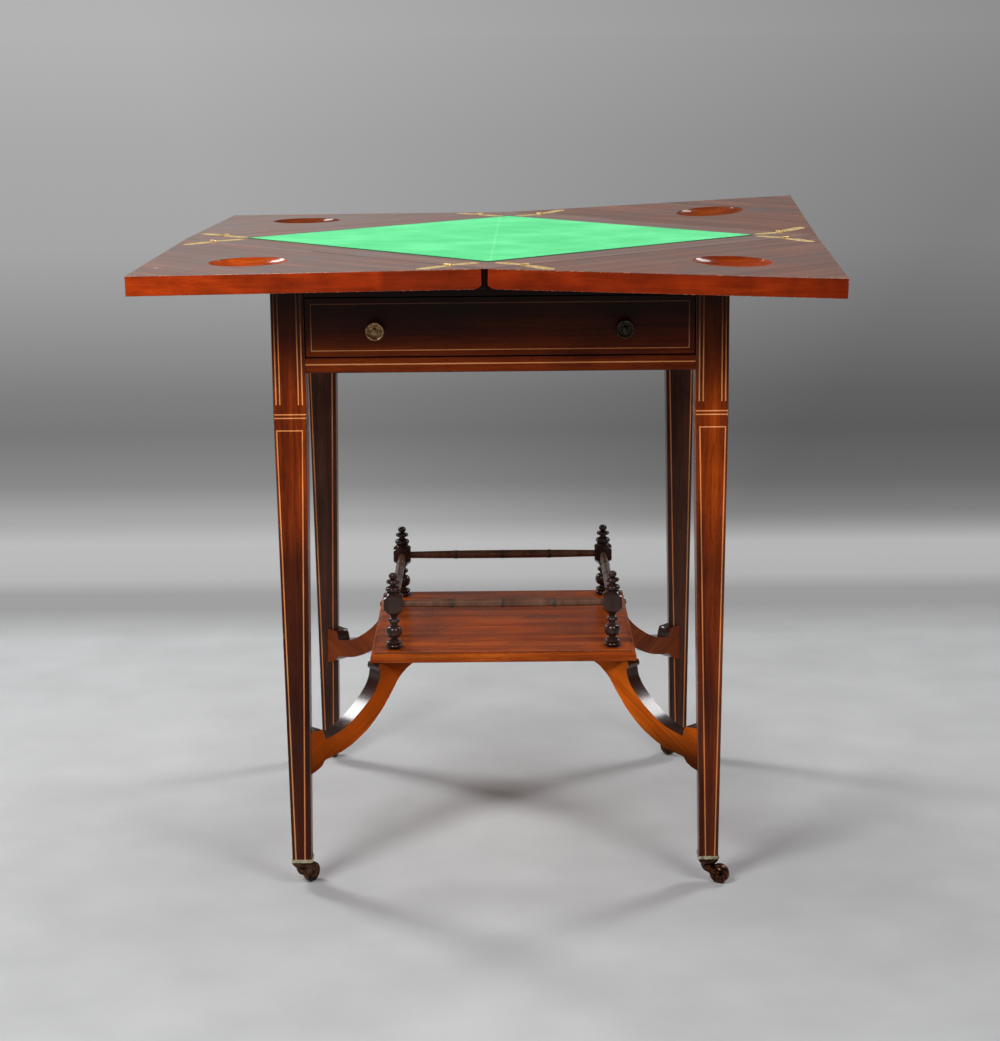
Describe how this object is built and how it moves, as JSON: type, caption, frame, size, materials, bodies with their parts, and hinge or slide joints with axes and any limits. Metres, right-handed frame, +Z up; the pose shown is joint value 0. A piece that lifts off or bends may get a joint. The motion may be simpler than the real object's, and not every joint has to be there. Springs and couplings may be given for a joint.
{
  "type": "envelope card table",
  "caption": "Square card table whose triangular leaves unfold over the corners of its frame, with a drawer, a galleried undershelf and castors.",
  "frame": {"origin": "centre of the footprint, on the floor", "axes": "+Z up, the drawer faces -Y, +X to the right of the drawer"},
  "size_m": [0.8091, 0.8082, 0.7697],
  "materials": {
    "mahogany": "french-polished mahogany",
    "dark_mahogany": "dark french-polished mahogany",
    "ebonised_wood": "ebonised and polished",
    "secondary_wood": "bare pine",
    "baize": "green wool baize",
    "brass": "worn lacquered brass",
    "iron": "blackened iron"
  },
  "bodies": {
    "frame": {"leg_front_left": "dark_mahogany", "leg_front_right": "dark_mahogany", "leg_back_right": "dark_mahogany", "leg_back_left": "dark_mahogany", "side_rail_right": "dark_mahogany", "side_rail_left": "dark_mahogany", "back_rail": "dark_mahogany", "front_rail_lower": "dark_mahogany", "front_rail_upper": "dark_mahogany", "sub_top": "secondary_wood", "shelf": "mahogany", "bracket_front_left": "mahogany", "bracket_front_right": "mahogany", "bracket_back_right": "mahogany", "bracket_back_left": "mahogany", "gallery_post_front_left": "ebonised_wood", "gallery_post_front_right": "ebonised_wood", "gallery_post_back_right": "ebonised_wood", "gallery_post_back_left": "ebonised_wood", "gallery_rails": "ebonised_wood", "castor_cup_front_left": "brass", "castor_cup_front_right": "brass", "castor_cup_back_right": "brass", "castor_cup_back_left": "brass"},
    "top": {"centre_board": "mahogany", "baize": "baize", "pivot_bolt": "iron", "board_strap_front_left_a": "brass", "board_strap_front_left_b": "brass", "board_strap_front_right_a": "brass", "board_strap_front_right_b": "brass", "board_strap_back_right_a": "brass", "board_strap_back_right_b": "brass", "board_strap_back_left_a": "brass", "board_strap_back_left_b": "brass"},
    "drawer": {"drawer_front": "dark_mahogany", "drawer_frame": "secondary_wood", "drawer_bottom": "secondary_wood", "drawer_knob_left": "brass", "drawer_knob_right": "brass"},
    "front_left_leaf": {"leaf_front_left": "mahogany", "leaf_strap_front_left_a": "brass", "leaf_strap_front_left_b": "brass"},
    "front_left_horn": {"castor_horn_front_left": "brass"},
    "front_left_wheel": {"castor_wheel_front_left": "brass"},
    "front_right_leaf": {"leaf_front_right": "mahogany", "leaf_strap_front_right_a": "brass", "leaf_strap_front_right_b": "brass"},
    "front_right_horn": {"castor_horn_front_right": "brass"},
    "front_right_wheel": {"castor_wheel_front_right": "brass"},
    "back_right_leaf": {"leaf_back_right": "mahogany", "leaf_strap_back_right_a": "brass", "leaf_strap_back_right_b": "brass"},
    "back_right_horn": {"castor_horn_back_right": "brass"},
    "back_right_wheel": {"castor_wheel_back_right": "brass"},
    "back_left_leaf": {"leaf_back_left": "mahogany", "leaf_strap_back_left_a": "brass", "leaf_strap_back_left_b": "brass"},
    "back_left_horn": {"castor_horn_back_left": "brass"},
    "back_left_wheel": {"castor_wheel_back_left": "brass"}
  },
  "joints": [
    {"name": "top_swivel", "type": "hinge", "parent": "frame", "child": "top", "pos_m": [0, 0, 0.7274], "axis": [0, 0, 1], "range_deg": [-42.65, 2.35]},
    {"name": "front_left_leaf_hinge", "type": "hinge", "parent": "top", "child": "front_left_leaf", "pos_m": [-0.20226, -0.18632, 0.7499], "axis": [-0.6775, 0.7355, 0], "range_deg": [0, 181.14]},
    {"name": "front_right_leaf_hinge", "type": "hinge", "parent": "top", "child": "front_right_leaf", "pos_m": [0.18632, -0.20226, 0.7499], "axis": [-0.7355, -0.6775, 0], "range_deg": [0, 182.5]},
    {"name": "back_right_leaf_hinge", "type": "hinge", "parent": "top", "child": "back_right_leaf", "pos_m": [0.20226, 0.18632, 0.7499], "axis": [0.6775, -0.7355, 0], "range_deg": [0, 175.64]},
    {"name": "back_left_leaf_hinge", "type": "hinge", "parent": "top", "child": "back_left_leaf", "pos_m": [-0.18632, 0.20226, 0.7499], "axis": [0.7355, 0.6775, 0], "range_deg": [0, 180.38]},
    {"name": "drawer_slide", "type": "slide", "parent": "frame", "child": "drawer", "axis": [0, -1, 0], "range_m": [0, 0.3]},
    {"name": "front_left_castor_swivel", "type": "hinge", "parent": "frame", "child": "front_left_horn", "pos_m": [-0.24195, -0.24195, 0.02], "axis": [0, 0, 1], "continuous": true},
    {"name": "front_left_wheel_spin", "type": "hinge", "parent": "front_left_horn", "child": "front_left_wheel", "pos_m": [-0.23306, -0.22925, 0.0118], "axis": [-0.8192, 0.5736, 0], "continuous": true},
    {"name": "front_right_castor_swivel", "type": "hinge", "parent": "frame", "child": "front_right_horn", "pos_m": [0.24195, -0.24195, 0.02], "axis": [0, 0, 1], "continuous": true},
    {"name": "front_right_wheel_spin", "type": "hinge", "parent": "front_right_horn", "child": "front_right_wheel", "pos_m": [0.25551, -0.24946, 0.0118], "axis": [0.4848, 0.8746, 0], "continuous": true},
    {"name": "back_right_castor_swivel", "type": "hinge", "parent": "frame", "child": "back_right_horn", "pos_m": [0.24195, 0.24195, 0.02], "axis": [0, 0, 1], "continuous": true},
    {"name": "back_right_wheel_spin", "type": "hinge", "parent": "back_right_horn", "child": "back_right_wheel", "pos_m": [0.23008, 0.25191, 0.0118], "axis": [-0.6428, -0.766, 0], "continuous": true},
    {"name": "back_left_castor_swivel", "type": "hinge", "parent": "frame", "child": "back_left_horn", "pos_m": [-0.24195, 0.24195, 0.02], "axis": [0, 0, 1], "continuous": true},
    {"name": "back_left_wheel_spin", "type": "hinge", "parent": "back_left_horn", "child": "back_left_wheel", "pos_m": [-0.23926, 0.25722, 0.0118], "axis": [-0.9848, 0.1736, 0], "continuous": true}
  ]
}
